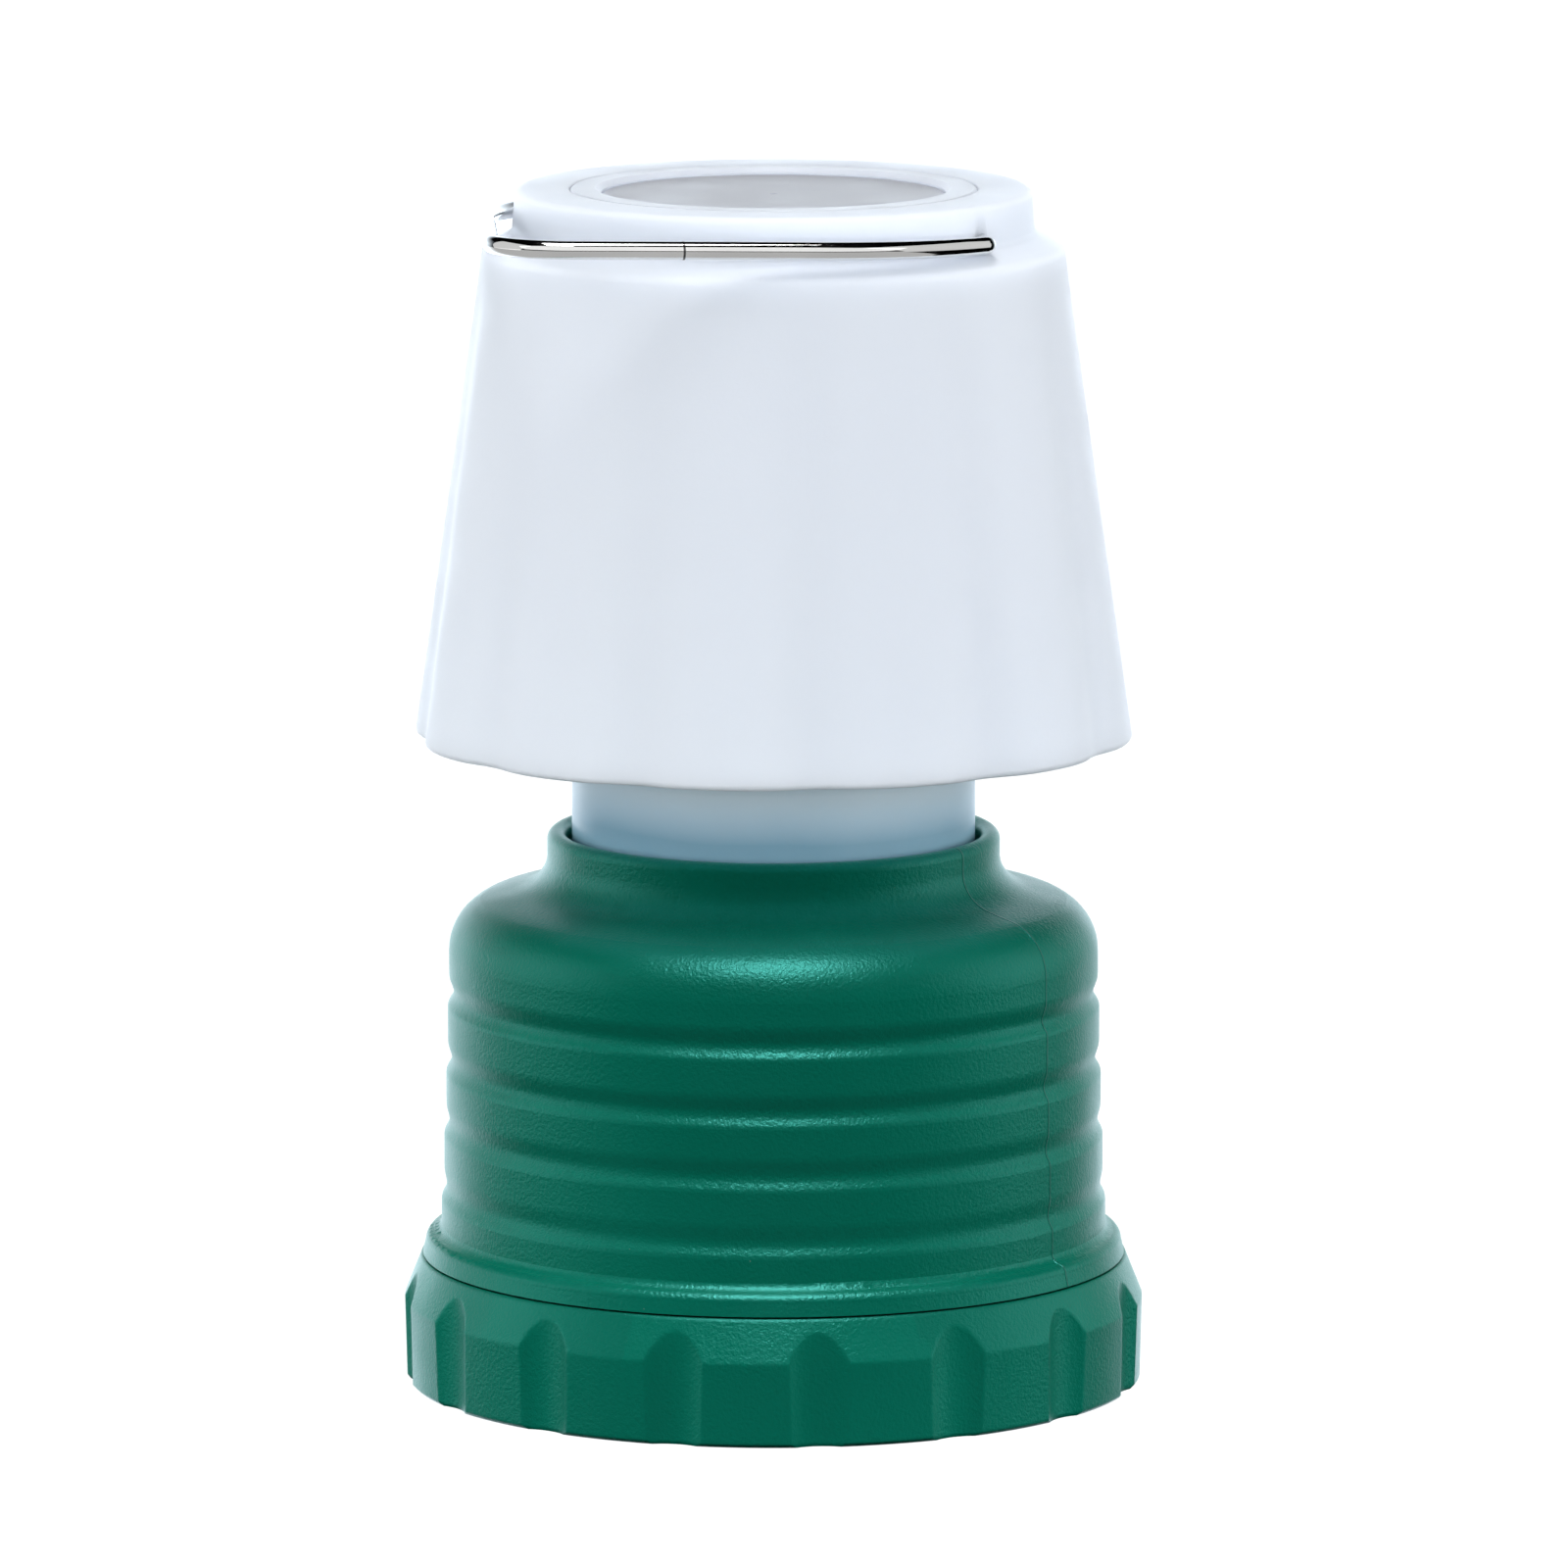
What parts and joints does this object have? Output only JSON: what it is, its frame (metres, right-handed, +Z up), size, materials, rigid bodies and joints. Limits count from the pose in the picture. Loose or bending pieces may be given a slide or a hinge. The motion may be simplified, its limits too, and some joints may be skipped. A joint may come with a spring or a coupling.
{
  "type": "camping lantern",
  "caption": "Battery camping lantern with a ribbed housing, fluted screw-off battery cover, frosted globe, pleated translucent shade and a folding wire bail.",
  "frame": {"origin": "centre of the base's underside, which stands on the table", "axes": "+Z up along the lantern's axis, X along the bail's pivot axis, the power button faces -Y and the bail is folded towards +Y"},
  "size_m": [0.1056, 0.112, 0.1718],
  "materials": {
    "green_plastic": "fine spark-eroded moulded grain, satin matte",
    "milky_plastic": "translucent milky polypropylene, satin",
    "frosted_globe": "frosted translucent tube, satin",
    "cap_insert": "lavender grey plain insert, satin",
    "bright_wire": "bright polished plated wire",
    "steel_screws": "zinc plated",
    "seal_rubber": "black, matte",
    "button_rubber": "dark soft rubber, matte",
    "black_plastic": "black moulded",
    "inner_plastic": "dark grey moulded",
    "contact_metal": "nickel plated strip",
    "spring_wire": "nickel plated spring wire",
    "circuit_board": "green solder mask",
    "board_parts": "black component bodies",
    "cast_aluminium": "die cast, satin",
    "reflector_metal": "vacuum metallised",
    "cell_jacket": null,
    "led_phosphor": "yellow phosphor under a clear dome",
    "lead_sleeve": "pvc sleeve"
  },
  "bodies": {
    "lantern": {"body_housing": "green_plastic", "cover_seal": "seal_rubber", "battery_carrier": "inner_plastic", "carrier_screws": "steel_screws", "return_strip": "contact_metal", "contact_deck": "inner_plastic", "upper_contacts": "contact_metal", "upper_spring": "spring_wire", "driver_board": "circuit_board", "driver_parts": "board_parts", "heat_sink": "cast_aluminium", "pedestal_screws": "steel_screws", "led_board": "cast_aluminium", "led_chip": "led_phosphor", "button_bezel": "black_plastic", "switch_body": "black_plastic", "switch_board": "circuit_board", "switch_screws": "steel_screws", "switch_leads": "lead_sleeve", "globe": "frosted_globe", "globe_gasket": "seal_rubber", "reflector": "reflector_metal", "shade": "milky_plastic", "top_cap": "milky_plastic", "cap_disc": "cap_insert", "cap_screws": "steel_screws", "cell_1": "cell_jacket", "cell_2": "cell_jacket", "cell_3": "cell_jacket"},
    "bail": {"bail_handle": "bright_wire", "bail_clips": "steel_screws"},
    "contact_tray": {"contact_disc": "inner_plastic", "lower_contacts": "contact_metal", "lower_springs": "spring_wire"},
    "cover": {"battery_cover": "green_plastic"},
    "button": {"power_button": "button_rubber", "switch_plunger": "black_plastic"}
  },
  "joints": [
    {"name": "bail_pivot", "type": "hinge", "parent": "lantern", "child": "bail", "pos_m": [0, 0, 0.1665], "axis": [1, 0, 0], "range_deg": [0, 175.8]},
    {"name": "cover_drop", "type": "slide", "parent": "lantern", "child": "contact_tray", "axis": [0, 0, -1], "range_m": [0, 0.01]},
    {"name": "cover_turn", "type": "hinge", "parent": "contact_tray", "child": "cover", "pos_m": [0, 0, 0], "axis": [0, 0, -1], "range_deg": [0, 900]},
    {"name": "power_press", "type": "slide", "parent": "lantern", "child": "button", "axis": [0, 1, 0], "range_m": [0, 0.0012], "stiffness_N_per_m": 800, "springref_m": -0.002}
  ],
  "couplings": [
    {"joint": "cover_drop", "follows": "cover_turn", "m_per_rad": 0.00063662}
  ]
}
